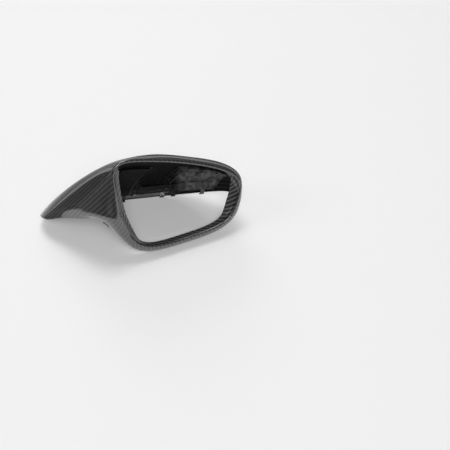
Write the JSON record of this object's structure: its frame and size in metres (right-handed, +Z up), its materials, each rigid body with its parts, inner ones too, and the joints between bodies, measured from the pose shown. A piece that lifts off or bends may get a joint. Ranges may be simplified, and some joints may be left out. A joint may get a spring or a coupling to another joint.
{
  "type": "wing mirror cover",
  "caption": "One-piece carbon laminate cover for a car's wing mirror, with a ring round the mirror glass, a swept hood and an arm, and clip carriers bonded inside.",
  "frame": {"origin": "centre of the bounding box's lowest face, on the surface that the cover stands on", "axes": "+Z up as the cover stands on the hood's front edge and the ring's lower beam, +X outboard along the opening's width, +Y forward, away from the mirror opening"},
  "size_m": [0.285, 0.1514, 0.1535],
  "materials": {
    "carbon_laminate": "twill carbon laminate under a clear gloss coat",
    "black_plastic": "moulded black, half gloss",
    "adhesive": "cured dark adhesive"
  },
  "bodies": {
    "root": {"carbon_shell": "carbon_laminate", "hood_carrier": "black_plastic", "arm_carrier": "black_plastic", "hood_bond": "adhesive", "arm_bond": "adhesive"}
  },
  "joints": []
}
